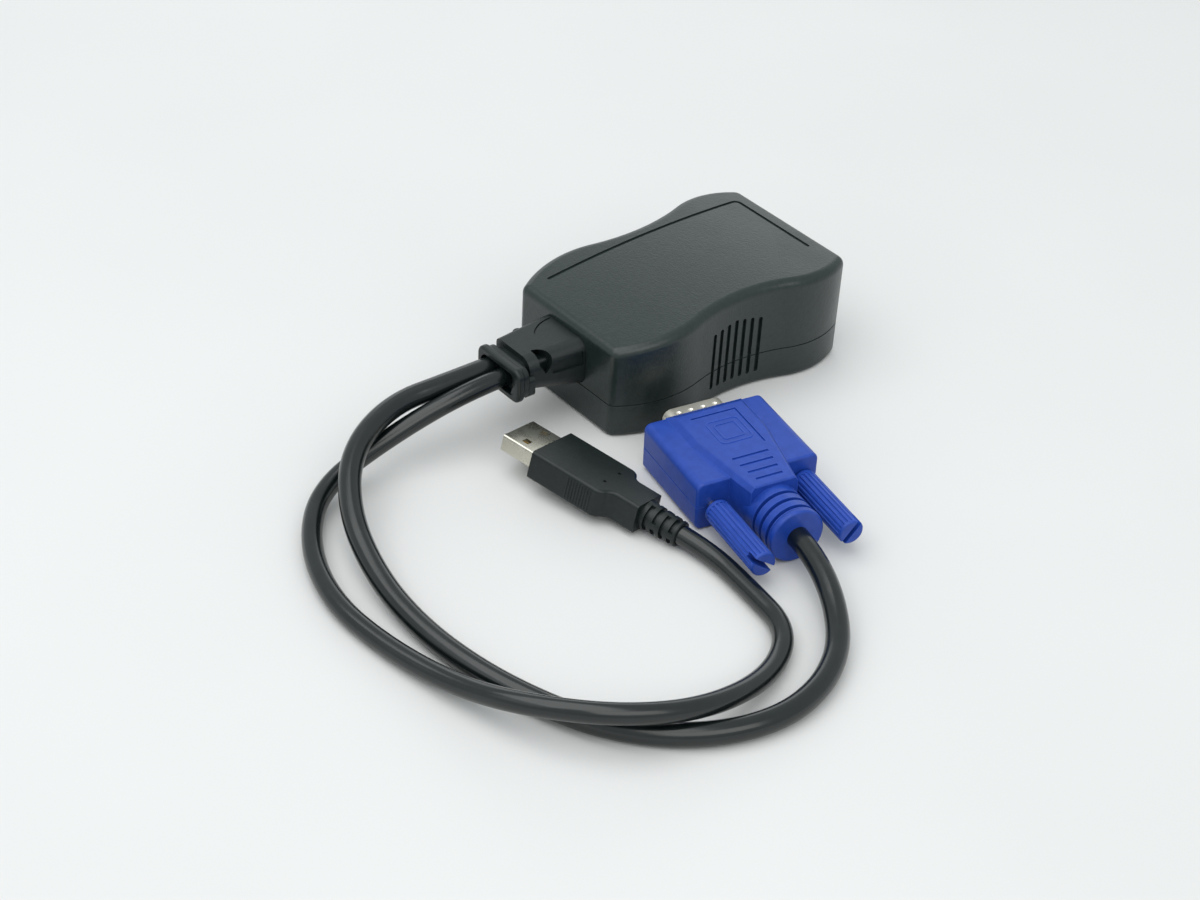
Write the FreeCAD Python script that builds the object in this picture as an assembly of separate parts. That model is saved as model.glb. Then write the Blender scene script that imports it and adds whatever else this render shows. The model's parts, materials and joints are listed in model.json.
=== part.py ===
import FreeCAD, Part
import math
import os
from FreeCAD import Placement, Rotation, Vector

# KVM dongle: a waisted housing with a network socket at its +X end, and a video
# plug and a USB plug on two cords from its -X end. Millimetres, +Z up, origin at
# the middle of the housing's underside.

# Housing outline, seen from above
body_length = 76.0
near_half = 18.8          # half width at the cord end
far_half = 21.2           # half width at the socket end
near_lobe_half = 24.1
near_lobe_x = -21.0
far_lobe_half = 25.3
far_lobe_x = 25.0
waist_half = 21.0
waist_x = 0.5
near_corner_r = 2.5
far_corner_r = 3.0

# Housing height: the top is one long arc
crown_z = 29.8
crown_x = 15.6
crown_r = 348.0
top_edge_r = 2.4
bottom_edge_r = 1.4
wall = 2.0
parting_z = 9.5
reveal = 0.35             # groove where the two shells meet
lip_t = 0.8
lip_h = 1.2
fit_gap = 0.1

# Line cut into the top
line_w = 1.0
line_depth = 0.5
line_y = 16.5
line_x0 = -31.0
line_x1 = 33.0
line_y1 = -12.0
line_turn_r = 1.6

# Finger grip at the waist
grip_count = 7
grip_pitch = 2.55
grip_w = 1.2
grip_depth = 0.9
grip_x = 1.2              # middle of the group
grip_z0 = 4.0
grip_z1 = 22.2            # top of the middle groove
grip_droop = 0.45         # fall of the tops per groove from the middle

# Screws from below
screw_r = 1.25
screw_l = 11.0
screw_head_r = 2.5
screw_head_h = 1.7
screw_recess = 1.3
boss_r = 3.2
near_screw_x = -25.0
near_screw_y = 17.4
far_screw_x = 26.0
far_screw_y = 18.4

# Circuit board
board_t = 1.6
board_z = 6.5
board_half = 14.6
board_x0 = -20.4
board_back = 3.0          # board end to the housing's end
stand_r = 1.9
stand_x = 14.0
stand_y = 11.0
chip_size = 14.0
chip_t = 1.6
chip_x = -8.0
coil_l = 13.0
coil_w = 16.0
coil_t = 5.6
coil_gap = 2.0

# Network socket
jack_w = 16.0
jack_h = 13.4
jack_l = 21.0
jack_inset = 0.4
port_w = 11.9
port_h = 7.0
port_depth = 14.0
latch_w = 6.4
latch_h = 1.8
key_w = 3.4
key_h = 1.5
port_top = 2.2            # thickness over the port
pin_count = 8
pin_pitch = 1.02
pin_w = 0.46
pin_t = 0.34
pin_reach = 9.0
pin_drop = 3.2

# Cord boot in the housing's end; its near side is -Y, its far side +Y
boot_half = 8.4
boot_z1 = 23.0
boot_r = 3.6              # near corner, and both where it passes through the wall
boot_far_r = 1.5
boot_l = 15.9             # housing face to the slot
boot_tip_near = 6.2       # the cords pull the soft end to the far side
boot_tip_far = 8.0
boot_tip_z0 = 12.2
boot_tip_z1 = 21.8
slot_w = 1.2
slot_depth = 1.5
slot_z0 = 17.6            # below this the flange and the boot are joined
slot_bridge = 1.2         # the joint stands this much proud on the near side
flange_l = 3.9
flange_lip_l = 2.3
flange_near = 8.3
flange_far = 9.2
flange_z0 = 11.6
flange_z1 = 21.1
flange_r = 2.4
flange_step = 0.5
flange_rim = 1.6
recess_depth = 1.7
boot_inner_l = 3.0
boot_inner_margin = 0.8
window_x = -51.0          # straight edge of the D-shaped window
window_r = 3.6
window_across = 10.4      # its middle, along the line that rises to the far side at 45 degrees
window_depth = 2.6
seam_x = -39.5
seam_y = -2.1
seam_r = 8.05
seam_w = 0.45
seam_depth = 0.4
side_pocket_x0 = -47.4
side_pocket_x1 = -38.7
side_pocket_z0 = 16.4
side_pocket_z1 = 20.6
side_pocket_depth = 0.6
lug_r = 1.5
lug_at = (-47.3, 7.9, 20.2)

# Cords
vga_cord_d = 5.6
usb_cord_d = 5.0
cord_z = 16.2             # height where they leave the boot
vga_exit_y = 4.5
usb_exit_y = -0.95

# Video plug: x runs from the front of its hood to the cord, z = 0 on its axis
vga_at = Vector(-23.1, -37.2, 7.0)
vga_turn = Rotation(-102.1, -0.3, 1.0)
hood_w = 33.3
hood_l = 28.0
hood_h = 13.4
hood_edge_r = 1.9
hood_end_r = 0.7
hood_seam = 0.3
deck_z = 8.1
deck_half = 9.2
deck_knee = 13.5
deck_l = 35.6
deck_end_half = 5.5
deck_slope = 1.5
deck_rise = 2.6           # length of the slope at its front
mark_w = 0.6
mark_depth = 0.4
mark_x = 4.6
mark_y = 6.3
mark_l = 15.4
rib_count = 4
rib_x = 23.1
rib_pitch = 3.04
rib_half = 5.0
rib_fall = 0.45
rib_w = 0.8
neck_r = 7.0
neck_end = 45.4
ring_count = 3
ring_x = 38.0
ring_pitch = 3.0
ring_w = 1.1
ring_depth = 1.2
disc_r = 7.2
disc_t = 1.8
jack_screw_gap = 25.0     # between the two thumbscrews
knob_r = 3.25
knob_l = 22.8
knob_gaps = {-1: 2.4, 1: 0.4}   # hood to knob on each side
flute_count = 18
flute_r = 0.36
knob_slot_w = 1.4
knob_slot_l = 3.2
shank_r = 1.15
shank_clear = 0.06
thread_r = 1.42
thread_l = 5.0
screw_reach = 30.4        # knob to the tip of its thread
thread_bore_r = 1.62
thread_bore_l = 8.4
left_turn = -35.0         # how far round each knob stands
right_turn = 50.0

# Video plug shell and pins
plate_w = 31.0
plate_h = 11.4
plate_t = 0.8
dshell_w = 17.7
dshell_h = 9.1
dshell_r = 2.4
dshell_slant = 10.0
dshell_l = 5.8
dshell_t = 0.4
dimple_r = 0.7
dimple_depth = 0.3
dimple_count = 4
dimple_pitch = 3.4
insert_l = 6.0
contact_r = 0.38
contact_l = 5.0
pin_tip = 0.16
contact_pitch = 2.29
contact_row = 1.98

# USB plug: x runs from the tip of its shell to the cord, z = 0 on its axis
usb_at = Vector(-63.4, -14.0, 8.05)
usb_turn = Rotation(-76.9, 5.0, -10.0)
usb_w = 12.0
usb_h = 4.5
usb_inner_r = 0.25
usb_t = 0.3
usb_shell_l = 17.0
usb_out = 10.4             # shell outside the moulding
usb_edge_r = 0.5
usb_hole = 1.9
usb_hole_x = 5.3
usb_hole_y = 3.3
grip_l = 19.1
grip_half = 8.0
grip_h = 7.7
grip_edge_r = 0.9
grip_tail_x = 34.5
grip_tail_half = 4.9
grip_end_x = 40.7
tail_r0 = 3.8
tail_r1 = 3.3
tail_end_x = 51.2
tail_rings = 4
tail_rib = 1.6            # bridges left across the tail's grooves
dot_x = 29.0
dot_y = 3.0
dot_r = 0.45
tail_ring_w = 1.2
tail_ring_depth = 0.8
tongue_t = 1.9
tongue_out = 0.6          # tongue end inside the shell's mouth
usb_pin_w = 1.2
usb_pin_t = 0.2
usb_pin_l = 8.5

half = body_length / 2
far_jack_z = board_z + board_t
head_z = screw_recess + screw_head_h


def box(x0, x1, y0, y1, z0, z1):
    return Part.makeBox(x1 - x0, y1 - y0, z1 - z0, Vector(x0, y0, z0))


def rounded_face(w, h, r):
    a = w / 2
    b = h / 2
    face = Part.Face(Part.makePolygon([Vector(-a, -b, 0), Vector(a, -b, 0), Vector(a, b, 0),
                                       Vector(-a, b, 0), Vector(-a, -b, 0)]))
    solid = face.extrude(Vector(0, 0, 1))
    solid = solid.makeFillet(r, [e for e in solid.Edges if abs(e.tangentAt(e.FirstParameter).z) > 0.9])
    return [f for f in solid.Faces if abs(f.CenterOfMass.z) < 1e-6][0]


def across(shape, x):
    # a shape drawn in XY stands across the X axis: its x is Y, its y is Z
    out = shape.copy()
    out.Placement = Placement(Vector(x, 0, 0), Rotation(Vector(1, 1, 1), 120))
    return out


def bar(w, h, r, x0, x1, zc=0.0):
    face = across(rounded_face(w, h, r), x0)
    face.translate(Vector(0, 0, zc))
    return face.extrude(Vector(x1 - x0, 0, 0))


def rod(r, x0, x1, y=0.0, z=0.0):
    return Part.makeCylinder(r, x1 - x0, Vector(x0, y, z), Vector(1, 0, 0))


def fillet(shape, r, pick):
    return shape.makeFillet(r, [e for e in shape.Edges if pick(e)])


def fuse_all(shapes):
    out = shapes[0]
    if len(shapes) > 1:
        out = out.fuse(shapes[1:])
    return out.removeSplitter()


def lobe(x, lobe_half, end_x, end_half):
    d = lobe_half - end_half
    r = ((x - end_x) ** 2 + d * d) / (2 * d)
    return Vector(x, lobe_half - r, 0), r


def waist_arc(x, lobe_half, r):
    d = lobe_half - waist_half
    big = ((waist_x - x) ** 2 / d - (2 * r - d)) / 2
    return Vector(waist_x, waist_half + big, 0), big


def arc_between(p, q, centre, r):
    mid = (p + q) * 0.5 - centre
    mid.normalize()
    return Part.Arc(p, centre + mid * r, q)


def side_arcs(inset):
    c1, r1 = lobe(near_lobe_x, near_lobe_half, -half, near_half)
    c3, r3 = lobe(far_lobe_x, far_lobe_half, half, far_half)
    ca, ra = waist_arc(near_lobe_x, near_lobe_half, r1)
    cb, rb = waist_arc(far_lobe_x, far_lobe_half, r3)
    r1 -= inset
    r3 -= inset
    ra += inset
    rb += inset
    x0 = -half + inset
    x1 = half - inset
    start = Vector(x0, c1.y + math.sqrt(r1 * r1 - (x0 - c1.x) ** 2), 0)
    end = Vector(x1, c3.y + math.sqrt(r3 * r3 - (x1 - c3.x) ** 2), 0)
    t1 = c1 + (ca - c1).normalize() * r1
    t3 = c3 + (cb - c3).normalize() * r3
    low = Vector(waist_x, waist_half - inset, 0)
    return [arc_between(start, t1, c1, r1), arc_between(t1, low, ca, ra),
            arc_between(low, t3, cb, rb), arc_between(t3, end, c3, r3)], start, end


def side_y(x, inset=0.0):
    # half width of the outline near the waist
    c1, r1 = lobe(near_lobe_x, near_lobe_half, -half, near_half)
    c3, r3 = lobe(far_lobe_x, far_lobe_half, half, far_half)
    if x < waist_x:
        centre, r = waist_arc(near_lobe_x, near_lobe_half, r1)
    else:
        centre, r = waist_arc(far_lobe_x, far_lobe_half, r3)
    return centre.y - math.sqrt(r * r - (x - centre.x) ** 2) - inset


def prism(inset, z0, z1, corners=True):
    arcs, start, end = side_arcs(inset)
    edges = [a.toShape() for a in arcs]
    flip = [e.mirror(Vector(0, 0, 0), Vector(0, 1, 0)) for e in edges]
    edges.append(Part.makeLine(end, Vector(end.x, -end.y, 0)))
    edges.append(Part.makeLine(Vector(start.x, -start.y, 0), start))
    wire = Part.Wire(Part.__sortEdges__(edges + flip))
    face = Part.Face(wire)
    face.translate(Vector(0, 0, z0))
    solid = face.extrude(Vector(0, 0, z1 - z0))
    near_r = max(near_corner_r - inset, 0.3)
    far_r = max(far_corner_r - inset, 0.3)

    def corner(e, side):
        b = e.BoundBox
        return b.ZLength > 0.5 * (z1 - z0) and abs(b.XMin - side * (half - inset)) < 0.01
    solid = fillet(solid, near_r, lambda e: corner(e, -1))
    return fillet(solid, far_r, lambda e: corner(e, 1))


def crown_at(x):
    return crown_z - crown_r + math.sqrt(crown_r ** 2 - (x - crown_x) ** 2)


def crown_slab(inset, z0):
    # everything under the long arc of the top, down to z0
    a = -half - 5
    b = half + 5
    m = (a + b) / 2
    r = crown_r - inset
    centre = crown_z - crown_r

    def z(x):
        return centre + math.sqrt(r * r - (x - crown_x) ** 2)
    y = far_lobe_half + near_lobe_half
    top = Part.Arc(Vector(a, -y, z(a)), Vector(m, -y, z(m)), Vector(b, -y, z(b))).toShape()
    rest = [Part.makeLine(Vector(b, -y, z(b)), Vector(b, -y, z0)),
            Part.makeLine(Vector(b, -y, z0), Vector(a, -y, z0)),
            Part.makeLine(Vector(a, -y, z0), Vector(a, -y, z(a)))]
    return Part.Face(Part.Wire([top] + rest)).extrude(Vector(0, 2 * y, 0))


def housing():
    outer = prism(0, 0, crown_z + 1).common(crown_slab(0, -1))
    low = crown_at(-half) - 1
    limit = min(near_corner_r, far_corner_r) - 0.05
    outer = fillet(outer, min(top_edge_r, limit), lambda e: e.BoundBox.ZMin > low)
    outer = fillet(outer, min(bottom_edge_r, limit), lambda e: e.BoundBox.ZMax < 0.01)
    return outer


def grip_tools():
    tools = []
    for i in range(grip_count):
        k = i - (grip_count - 1) / 2
        x = grip_x + k * grip_pitch
        z1 = grip_z1 - abs(k) * grip_droop
        r = grip_w / 2
        slot = Part.makeCylinder(r, 10, Vector(x, 0, grip_z0 + r), Vector(0, 1, 0))
        slot = slot.fuse([box(x - r, x + r, 0, 10, grip_z0 + r, z1 - r),
                          Part.makeCylinder(r, 10, Vector(x, 0, z1 - r), Vector(0, 1, 0))]).removeSplitter()
        slot.translate(Vector(0, side_y(x) - grip_depth, 0))
        tools.append(slot)
        tools.append(slot.mirror(Vector(0, 0, 0), Vector(0, 1, 0)))
    return tools


def line_tool():
    # L-shaped line with a round turn, as deep as line_depth under the arc
    h = line_w / 2
    r0 = line_turn_r - h
    r1 = line_turn_r + h
    c = Vector(line_x1 - line_turn_r, line_y - line_turn_r, 0)
    k = math.sqrt(0.5)
    y0 = line_y - h
    y1 = line_y + h
    x0 = line_x1 - h
    x1 = line_x1 + h
    edges = [Part.Arc(Vector(line_x0, y1, 0), Vector(line_x0 - h, line_y, 0), Vector(line_x0, y0, 0)).toShape(),
             Part.makeLine(Vector(line_x0, y0, 0), Vector(c.x, y0, 0)),
             Part.Arc(Vector(c.x, y0, 0), c + Vector(k, k, 0) * r0, Vector(x0, c.y, 0)).toShape(),
             Part.makeLine(Vector(x0, c.y, 0), Vector(x0, line_y1, 0)),
             Part.Arc(Vector(x0, line_y1, 0), Vector(line_x1, line_y1 - h, 0), Vector(x1, line_y1, 0)).toShape(),
             Part.makeLine(Vector(x1, line_y1, 0), Vector(x1, c.y, 0)),
             Part.Arc(Vector(x1, c.y, 0), c + Vector(k, k, 0) * r1, Vector(c.x, y1, 0)).toShape(),
             Part.makeLine(Vector(c.x, y1, 0), Vector(line_x0, y1, 0))]
    face = Part.Face(Part.Wire(edges))
    face.translate(Vector(0, 0, crown_z / 2))
    return face.extrude(Vector(0, 0, crown_z)).cut(crown_slab(line_depth, -1))


def screw_places():
    out = []
    for s in (-1, 1):
        out.append((near_screw_x, s * near_screw_y))
        out.append((far_screw_x, s * far_screw_y))
    return out


def boot_mouth(gap):
    # the opening in the shells that the boot fills, down to the parting plane
    zc = (parting_z + boot_z1) / 2
    h = boot_z1 - parting_z
    return bar(2 * (boot_half + gap), h + 2 * gap, boot_r + gap, -half - 1, -half + wall + 1, zc)


def jack_mouth():
    y = jack_w / 2 + fit_gap
    return box(half - wall - 1, half + 1, -y, y, far_jack_z - fit_gap, far_jack_z + jack_h + fit_gap)


def shells():
    outer = housing()
    inner = prism(wall, wall, crown_z + 1).common(crown_slab(wall, 0))
    hollow = outer.cut(inner)
    ring = prism(-1, parting_z - reveal / 2, parting_z + reveal / 2)
    ring = ring.cut(prism(reveal, parting_z - reveal / 2, parting_z + reveal / 2))
    hollow = hollow.cut([ring] + grip_tools())
    big = 2 * half
    lower = hollow.common(box(-big, big, -big, big, -1, parting_z))
    upper = hollow.common(box(-big, big, -big, big, parting_z, crown_z + 5))
    step = prism(wall - lip_t, parting_z - 0.5, parting_z + lip_h)
    step = step.cut(prism(wall, parting_z - 0.5, parting_z + lip_h))
    seat = prism(wall - lip_t - fit_gap, parting_z, parting_z + lip_h + fit_gap)
    seat = seat.cut(prism(wall + 1, parting_z, parting_z + lip_h + fit_gap))
    lower = lower.fuse(step)
    upper = upper.cut(seat)
    posts = []
    bores = []
    bosses = []
    pilots = []
    for x, y in screw_places():
        posts.append(Part.makeCylinder(boss_r, parting_z - wall / 2, Vector(x, y, wall / 2)))
        bores.append(Part.makeCylinder(screw_head_r + fit_gap, head_z, Vector(x, y, 0)))
        bores.append(Part.makeCylinder(screw_r + fit_gap, parting_z + 1, Vector(x, y, 0)))
        bosses.append(Part.makeCylinder(boss_r, crown_z, Vector(x, y, parting_z)))
        pilots.append(Part.makeCylinder(screw_r + fit_gap / 2, screw_l - parting_z + head_z + 1, Vector(x, y, parting_z)))
    stands = []
    for s in (-1, 1):
        for x in (chip_x - stand_x / 2, chip_x + stand_x * 1.5):
            stands.append(Part.makeCylinder(stand_r, board_z - wall / 2, Vector(x, s * stand_y, wall / 2)))
    lower = lower.fuse(posts + stands).cut(bores + [boot_mouth(fit_gap), jack_mouth()])
    cap = [b.common(crown_slab(wall / 2, 0)) for b in bosses]
    upper = upper.fuse(cap).cut(pilots + [boot_mouth(fit_gap), jack_mouth(), line_tool()])
    return upper.removeSplitter(), lower.removeSplitter()


def case_screws():
    out = []
    for x, y in screw_places():
        head = Part.makeCylinder(screw_head_r, screw_head_h, Vector(x, y, screw_recess))
        slot = screw_head_r * 0.6
        cross = box(x - slot, x + slot, y - 0.35, y + 0.35, 0, screw_recess + 0.8)
        cross = cross.fuse(box(x - 0.35, x + 0.35, y - slot, y + slot, 0, screw_recess + 0.8))
        shaft = Part.makeCylinder(screw_r, screw_l, Vector(x, y, head_z - 0.1))
        out.append(head.fuse(shaft).cut(cross).removeSplitter())
    return Part.makeCompound(out)


def jack_x():
    return half - jack_inset


def circuit_board():
    return box(board_x0, half - board_back, -board_half, board_half, board_z, board_z + board_t)


def board_chips():
    z = board_z + board_t
    chip = box(chip_x - chip_size / 2, chip_x + chip_size / 2, -chip_size / 2, chip_size / 2, z, z + chip_t)
    x1 = jack_x() - jack_l - coil_gap
    coil = box(x1 - coil_l, x1, -coil_w / 2, coil_w / 2, z, z + coil_t)
    return Part.makeCompound([chip, coil])


def port_z():
    return far_jack_z + jack_h - port_top


def network_jack():
    x1 = jack_x()
    z0 = far_jack_z
    block = box(x1 - jack_l, x1, -jack_w / 2, jack_w / 2, z0, z0 + jack_h)
    block = fillet(block, 0.4, lambda e: abs(e.BoundBox.XMin - x1) < 0.01 and e.BoundBox.XLength < 0.01)
    top = port_z()
    port = box(x1 - port_depth, x1 + 1, -port_w / 2, port_w / 2, top - port_h, top)
    latch = box(x1 - port_depth, x1 + 1, -latch_w / 2, latch_w / 2, top - port_h - latch_h, top)
    key = box(x1 - port_depth, x1 + 1, -key_w / 2, key_w / 2, top - port_h - latch_h - key_h, top)
    return block.cut([port, latch, key]).removeSplitter()


def jack_contacts():
    # each wire runs out under the port's roof, turns back and slopes down to the rear
    x1 = jack_x() - 3.0
    top = port_z()
    back = jack_x() - port_depth
    t = pin_t
    pts = [(back, top), (x1, top), (x1 + t, top - t), (x1 - pin_reach, top - pin_drop - t),
           (x1 - pin_reach, top - pin_drop), (x1 - 4 * t, top - t), (back, top - t)]
    out = []
    for i in range(pin_count):
        y = (i - (pin_count - 1) / 2) * pin_pitch
        poly = Part.makePolygon([Vector(x, y - pin_w / 2, z) for x, z in pts + pts[:1]])
        out.append(Part.Face(poly).extrude(Vector(0, pin_w, 0)))
    return Part.makeCompound(out)


def boot_section(x, near, far, z0, z1, grow=0.0):
    # seen from the cords: rounded corners, the far ones tighter
    n = near + grow
    f = far + grow
    solid = box(x, x + 1, -n, f, z0 - grow, z1 + grow)
    long_edges = [e for e in solid.Edges if e.BoundBox.XLength > 0.9]
    solid = solid.makeFillet(max(boot_r + grow, 0.3), [e for e in long_edges if e.CenterOfMass.y < 0])
    long_edges = [e for e in solid.Edges if e.BoundBox.XLength > 0.9 and abs(e.CenterOfMass.y - f) < 0.01
                  and min(abs(e.CenterOfMass.z - z0 + grow), abs(e.CenterOfMass.z - z1 - grow)) < 0.01]
    solid = solid.makeFillet(max(boot_far_r + grow, 0.3), long_edges)
    return [g for g in solid.Faces if g.BoundBox.XLength < 1e-6 and abs(g.CenterOfMass.x - x) < 1e-6][0].OuterWire


def boot_body(grow):
    x0 = -half - fit_gap
    z0 = parting_z + fit_gap
    tip_x = -half - boot_l
    return Part.makeLoft([boot_section(x0, boot_half, boot_half, z0, boot_z1, grow),
                          boot_section(tip_x, boot_tip_near, boot_tip_far, boot_tip_z0, boot_tip_z1, grow)], True, True)


def side_bar(near, far, z0, z1, r, x0, x1):
    out = bar(near + far, z1 - z0, r, x0, x1, (z0 + z1) / 2)
    out.translate(Vector(0, (far - near) / 2, 0))
    return out


def boot_window():
    # a half disc cut square to the near shoulder, its lower corner left standing
    depth = window_r * 4
    disc = Part.makeCylinder(window_r, depth, Vector(0, 0, 0), Vector(0, 0, 1))
    disc = disc.common(box(0, window_r + 1, -window_r - 1, window_r + 1, 0, depth))
    corner = Part.Face(Part.makePolygon([Vector(-1, 0.2, 0), Vector(-1, -window_r - 1, 0),
                                         Vector(window_r * 0.75, -window_r - 1, 0), Vector(-1, 0.2, 0)]))
    disc = disc.cut(corner.extrude(Vector(0, 0, depth)))
    # it starts inside the boot and runs out through the shoulder
    a = window_across * math.sqrt(0.5)
    b = boot_half * math.sqrt(0.5)
    # x stays along the boot, y turns to the 45 degree line, z points out of the shoulder
    disc.Placement = Placement(Vector(window_x, a - b, a + b), Rotation(Vector(1, 0, 0), 45))
    return disc


def boot_seam():
    # a fine curved line on top, following the slope of the top
    ring = Part.makeCylinder(seam_r + seam_w / 2, 20, Vector(seam_x, seam_y, boot_z1 - 10)).cut(
        Part.makeCylinder(seam_r - seam_w / 2, 20, Vector(seam_x, seam_y, boot_z1 - 10)))
    slab = box(-half - boot_l / 2, -half - 0.5, boot_half * 0.3, boot_half + 1, boot_z1 - seam_depth, boot_z1 + 3)
    fall = math.degrees(math.atan((boot_z1 - boot_tip_z1) / boot_l))
    slab.rotate(Vector(-half, 0, boot_z1), Vector(0, 1, 0), -fall)
    return ring.common(slab)


def cable_boot():
    face_x = -half
    z0 = parting_z + fit_gap
    tip_x = face_x - boot_l
    body = boot_body(0)
    zc = (z0 + boot_z1) / 2
    h = boot_z1 - z0
    neck = bar(2 * boot_half, h, boot_r, face_x - fit_gap, face_x + wall + 1, zc)
    m = boot_inner_margin
    inner_x = face_x + wall + fit_gap
    inner = bar(2 * (boot_half + m), h + 2 * m, boot_r + m, inner_x, inner_x + boot_inner_l, zc)
    f1 = tip_x - slot_w
    f0 = f1 - flange_l
    lip = side_bar(flange_near, flange_far, flange_z0, flange_z1, flange_r, f0, f0 + flange_lip_l)
    lip = fillet(lip, 0.8, lambda e: e.BoundBox.XLength < 0.01)
    st = flange_step
    back = side_bar(flange_near - st, flange_far - st, flange_z0 + st, flange_z1 - st, flange_r, f0 + flange_lip_l - 0.7, f1)
    back = fillet(back, 0.4, lambda e: abs(e.BoundBox.XMin - f1) < 0.01)
    sd = slot_depth
    core = side_bar(boot_tip_near - sd, boot_tip_far - sd, boot_tip_z0 + sd, boot_tip_z1 - sd, boot_r - sd, f1 - 1, tip_x + 1)
    bridge = side_bar(boot_tip_near + slot_bridge, boot_tip_far - 1, boot_tip_z0 - 0.2, slot_z0, 1.2, f1 - 0.4, tip_x + 0.9)
    lug = Part.makeSphere(lug_r, Vector(*lug_at))
    boot = fuse_all([body, neck, inner, lip, back, core, bridge, lug])
    rim = flange_rim
    recess = side_bar(flange_near - rim, flange_far - rim, flange_z0 + rim, flange_z1 - rim, flange_r, f0 - 1, f0 + recess_depth)
    pocket = box(side_pocket_x0, side_pocket_x1, -2 * boot_half, 0, side_pocket_z0, side_pocket_z1).cut(
        boot_body(-side_pocket_depth))
    inside = boot_body(-window_depth)
    return boot.cut([recess, boot_window().cut(inside), boot_seam(), pocket]).removeSplitter()


def place(shape, at, turn):
    out = shape.copy()
    out.Placement = Placement(at, turn).multiply(out.Placement)
    return out


def deck_outline(grow, x0, z0):
    a = deck_half + grow
    b = deck_end_half + grow * 0.6
    pts = [(x0, -a), (deck_knee, -a), (deck_l, -b), (deck_l, b), (deck_knee, a), (x0, a), (x0, -a)]
    return Part.makePolygon([Vector(x, y, z0) for x, y in pts])


def knob_y(side):
    return side * jack_screw_gap / 2


def vga_hood():
    slab = bar(hood_w, hood_h, hood_edge_r, 0, hood_l)
    slab = fillet(slab, hood_end_r, lambda e: e.BoundBox.XLength < 0.01)
    seam = box(-1, hood_l + 1, -hood_w, hood_w, -hood_seam / 2, hood_seam / 2).cut(
        box(-2, hood_l - hood_seam, -hood_w / 2 + hood_seam, hood_w / 2 - hood_seam, -1, 1))
    slab = slab.cut(seam)
    top = hood_h / 2 - 0.05
    deck = Part.makeLoft([deck_outline(deck_slope, 0, top), deck_outline(0, deck_rise, deck_z)], True, True)
    deck = fillet(deck, 0.5, lambda e: e.BoundBox.ZMin > deck_z - 0.01)
    trunk = Part.Face(deck_outline(deck_slope, 0, -hood_h / 2)).extrude(Vector(0, 0, hood_h - 0.05))
    trunk = trunk.common(box(hood_l / 2, deck_l + 1, -hood_w, hood_w, -hood_h, hood_h))
    neck = rod(neck_r, hood_l, neck_end)
    disc = rod(disc_r, neck_end, neck_end + disc_t)
    disc = fillet(disc, 0.6, lambda e: e.BoundBox.XLength < 0.01)
    hood = fuse_all([slab, deck, trunk, neck, disc])
    cuts = []
    for i in range(ring_count):
        x = ring_x + i * ring_pitch
        cuts.append(rod(neck_r + 2, x, x + ring_w).cut(rod(neck_r - ring_depth, x - 1, x + ring_w + 1)))
    z0 = deck_z - mark_depth
    for i in range(rib_count):
        x = rib_x + i * rib_pitch
        y = rib_half - i * rib_fall
        cuts.append(box(x, x + rib_w, -y, y, z0, deck_z + 1))
    cuts.append(box(mark_x, mark_x + mark_w, -mark_y, mark_y, z0, deck_z + 1))
    cuts.append(box(mark_x, mark_x + mark_l, mark_y - mark_w, mark_y, z0, deck_z + 1))
    for s in (-1, 1):
        y = knob_y(s)
        cuts.append(rod(shank_r + shank_clear, -1, hood_l + 1, y))
        cuts.append(rod(thread_bore_r, -1, thread_bore_l, y))
    cuts.append(box(-1, plate_t, -plate_w / 2, plate_w / 2, -plate_h / 2, plate_h / 2))
    cuts.append(insert_body(plate_t - 0.1, insert_l))
    return hood.cut(cuts).removeSplitter()


def d_face(w, h, r, x):
    # a D with its wide side up
    lean = h * math.tan(math.radians(dshell_slant))
    a = w / 2
    b = a - lean
    pts = [(-a, h / 2), (-b, -h / 2), (b, -h / 2), (a, h / 2), (-a, h / 2)]
    solid = Part.Face(Part.makePolygon([Vector(y, z, 0) for y, z in pts])).extrude(Vector(0, 0, 1))
    solid = fillet(solid, r, lambda e: e.BoundBox.ZLength > 0.9)
    face = [f for f in solid.Faces if abs(f.CenterOfMass.z) < 1e-6][0]
    return across(face, x)


def d_bar(inset, x0, x1):
    face = d_face(dshell_w - 2 * inset, dshell_h - 2 * inset, dshell_r - inset, x0)
    return face.extrude(Vector(x1 - x0, 0, 0))


def insert_body(x0, x1):
    return d_bar(dshell_t, x0, x1)


def vga_shell():
    plate = bar(plate_w - 0.1, plate_h - 0.1, 1.5, 0, plate_t)
    tube = d_bar(0, -dshell_l, 0.2)
    tube = fillet(tube, 0.3, lambda e: e.BoundBox.XMax < -dshell_l + 0.01)
    shell = plate.fuse(tube)
    cuts = [d_bar(dshell_t, -dshell_l - 1, plate_t + 1)]
    for s in (-1, 1):
        cuts.append(rod(thread_bore_r, -1, plate_t + 1, knob_y(s)))
    dent = dimple_r + 0.5
    for s in (-1, 1):
        for i in range(dimple_count):
            y = (i - (dimple_count - 1) / 2) * dimple_pitch
            z = s * (dshell_h / 2 + dent - dimple_depth)
            cuts.append(Part.makeSphere(dent, Vector(-dshell_l * 0.55, y, z)))
    return shell.cut(cuts).removeSplitter()


def contact_places():
    out = []
    for row in range(3):
        shift = 0.25 * contact_pitch if row == 1 else -0.25 * contact_pitch
        for i in range(5):
            out.append(((i - 2) * contact_pitch + shift, (row - 1) * contact_row))
    return out


def vga_insulator():
    block = insert_body(plate_t - 0.4, insert_l)
    return block.cut([rod(contact_r, -1, insert_l - 1, y, z) for y, z in contact_places()])


def vga_pins():
    out = []
    for y, z in contact_places():
        pin = rod(contact_r, -contact_l, insert_l - 1, y, z)
        out.append(pin.makeChamfer(pin_tip, [e for e in pin.Edges if e.BoundBox.XMax < -contact_l + 0.01]))
    return Part.makeCompound(out)


def knob_start(side):
    return hood_l + knob_gaps[side]


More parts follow.
